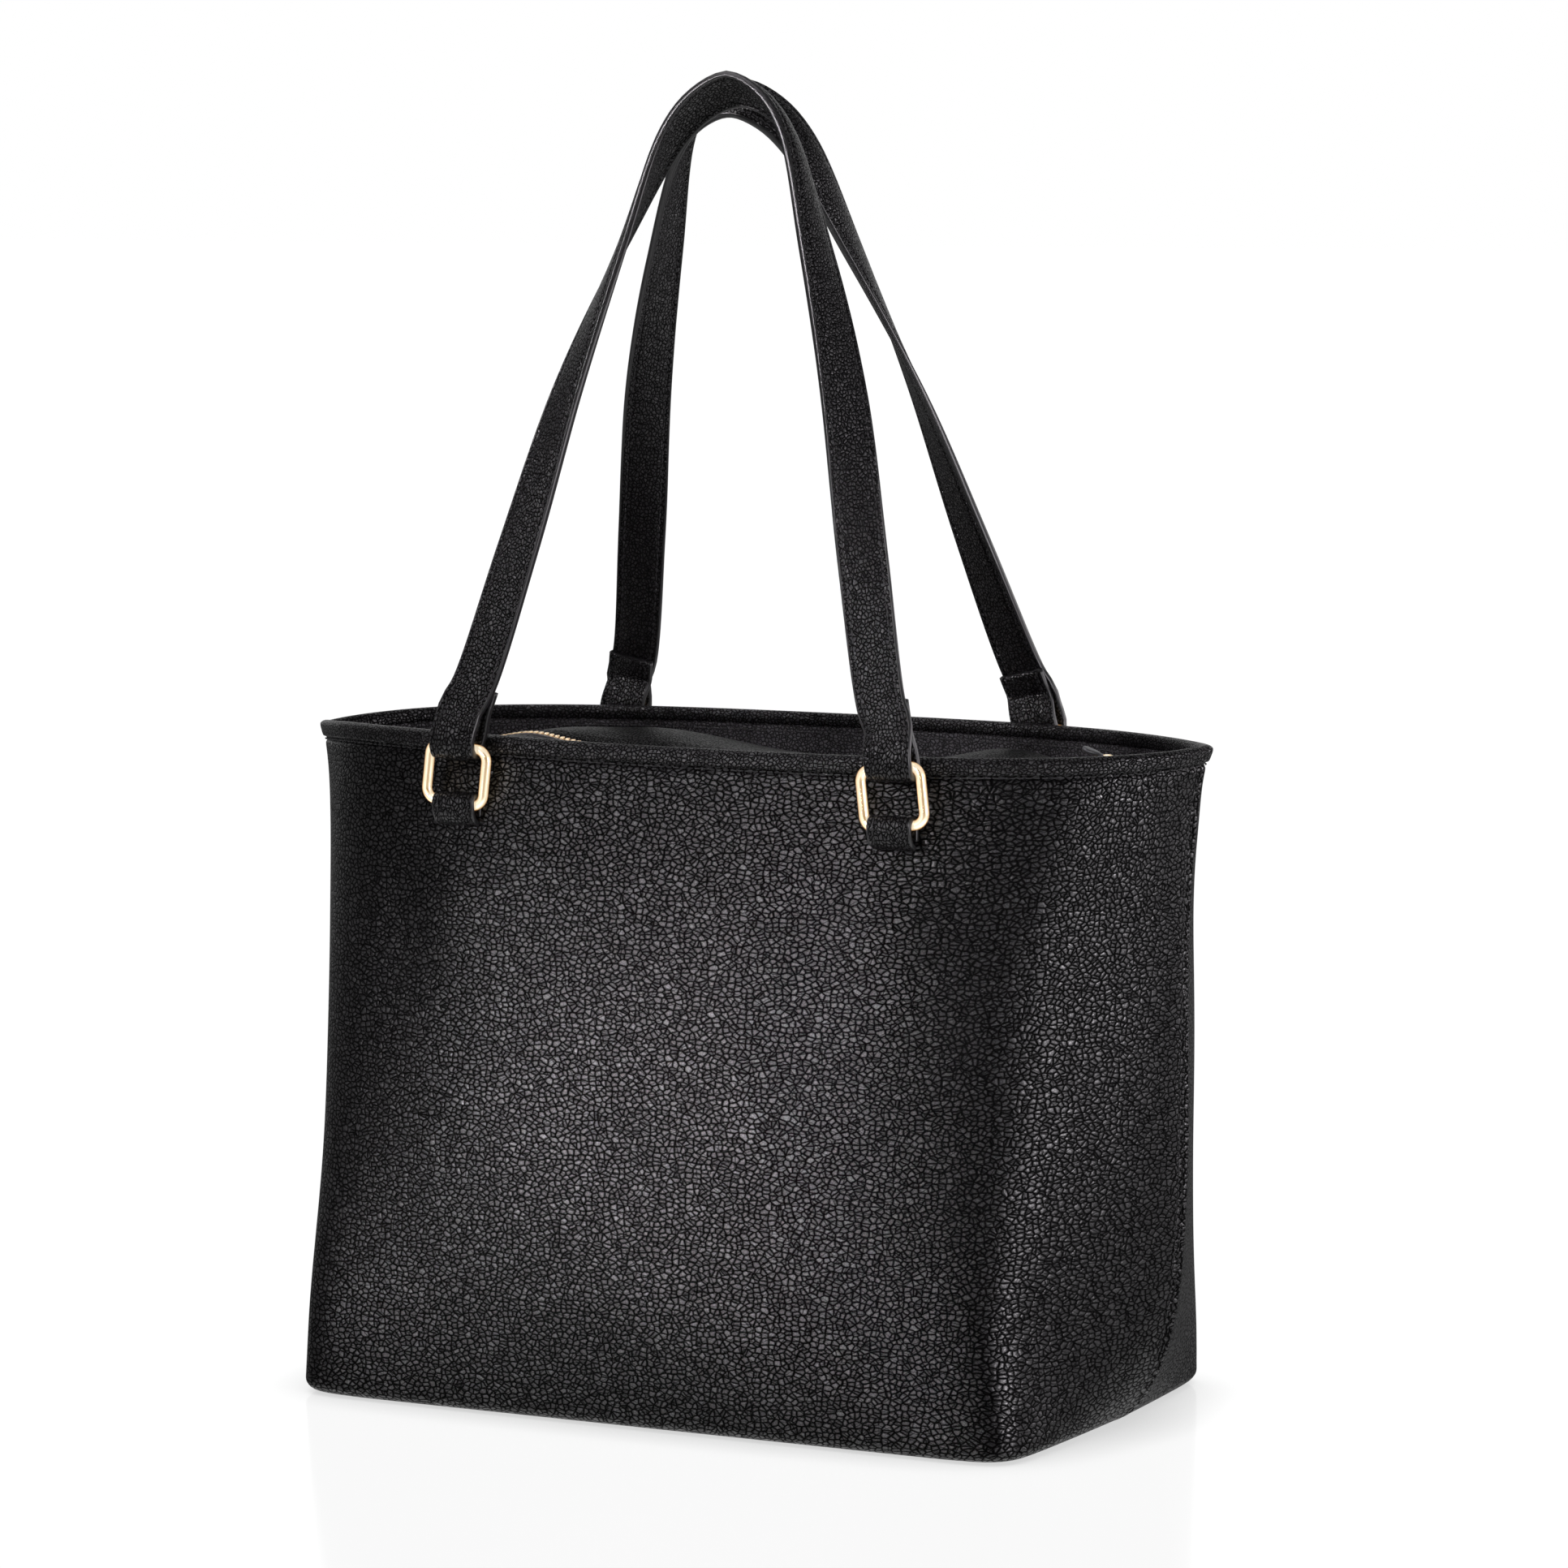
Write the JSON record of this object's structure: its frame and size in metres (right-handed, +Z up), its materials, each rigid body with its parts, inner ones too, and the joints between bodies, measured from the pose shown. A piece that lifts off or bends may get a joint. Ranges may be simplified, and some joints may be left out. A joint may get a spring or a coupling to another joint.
{
  "type": "diaper bag",
  "caption": "Soft leather tote diaper bag with a stiffened flat base, recessed zip closure, arched shoulder handles hung on metal rings, lining and inner slip pockets.",
  "frame": {"origin": "middle of the underside of the base", "axes": "+X across the width towards the closed end of the zip, -Y out of the front face, +Z up"},
  "size_m": [0.4218, 0.2096, 0.5603],
  "materials": {
    "leather": "pebbled, satin",
    "leather_trim": "pebbled, satin",
    "pull_leather": "smooth",
    "gold_metal": "polished pale gold",
    "zip_tape": "woven",
    "lining_fabric": "woven",
    "stiffener_board": "matt"
  },
  "bodies": {
    "bag": {"base_panel": "leather", "base_board": "stiffener_board", "lining": "lining_fabric", "front_panel": "leather", "back_panel": "leather", "front_facing": "leather_trim", "back_facing": "leather_trim", "front_rim_binding": "leather_trim", "back_rim_binding": "leather_trim", "front_slip_pocket": "lining_fabric", "back_slip_pocket": "lining_fabric", "front_zip_panel": "leather_trim", "back_zip_panel": "leather_trim", "left_end_gusset": "leather_trim", "right_end_gusset": "leather_trim", "front_zip_tape": "zip_tape", "back_zip_tape": "zip_tape", "front_zip_teeth": "gold_metal", "back_zip_teeth": "gold_metal", "front_zip_top_stop": "gold_metal", "back_zip_top_stop": "gold_metal", "zip_bottom_stop": "gold_metal", "front_tab_left": "leather_trim", "front_tab_right": "leather_trim", "back_tab_left": "leather_trim", "back_tab_right": "leather_trim"},
    "slider": {"zip_slider": "gold_metal"},
    "pull": {"zip_pull": "pull_leather"},
    "front_left_ring": {"front_ring_left": "gold_metal"},
    "front_right_ring": {"front_ring_right": "gold_metal"},
    "back_left_ring": {"back_ring_left": "gold_metal"},
    "back_right_ring": {"back_ring_right": "gold_metal"},
    "front_handle": {"front_handle": "leather_trim"},
    "back_handle": {"back_handle": "leather_trim"}
  },
  "joints": [
    {"name": "zip_slide", "type": "slide", "parent": "bag", "child": "slider", "axis": [1, 0, 0], "range_m": [-0.31, 0]},
    {"name": "zip_pull_lift", "type": "hinge", "parent": "slider", "child": "pull", "pos_m": [0.1655, 0, 0.2762], "axis": [0, 1, 0], "range_deg": [-12, 100]},
    {"name": "front_ring_swing", "type": "hinge", "parent": "bag", "child": "front_left_ring", "pos_m": [-0.095, -0.08567, 0.254], "axis": [1, 0, 0], "range_deg": [0, 75]},
    {"name": "front_right_ring_swing", "type": "hinge", "parent": "bag", "child": "front_right_ring", "pos_m": [0.107, -0.08567, 0.254], "axis": [1, 0, 0], "range_deg": [0, 75]},
    {"name": "front_handle_swing", "type": "hinge", "parent": "front_left_ring", "child": "front_handle", "pos_m": [-0.095, -0.08567, 0.2783], "axis": [1, 0, 0], "range_deg": [0, 60]},
    {"name": "back_ring_swing", "type": "hinge", "parent": "bag", "child": "back_left_ring", "pos_m": [-0.107, 0.08567, 0.254], "axis": [-1, 0, 0], "range_deg": [0, 75]},
    {"name": "back_right_ring_swing", "type": "hinge", "parent": "bag", "child": "back_right_ring", "pos_m": [0.095, 0.08567, 0.254], "axis": [-1, 0, 0], "range_deg": [0, 75]},
    {"name": "back_handle_swing", "type": "hinge", "parent": "back_left_ring", "child": "back_handle", "pos_m": [-0.107, 0.08567, 0.2783], "axis": [-1, 0, 0], "range_deg": [0, 60]}
  ],
  "couplings": [
    {"joint": "front_right_ring_swing", "follows": "front_ring_swing", "ratio": 1},
    {"joint": "back_right_ring_swing", "follows": "back_ring_swing", "ratio": 1}
  ]
}
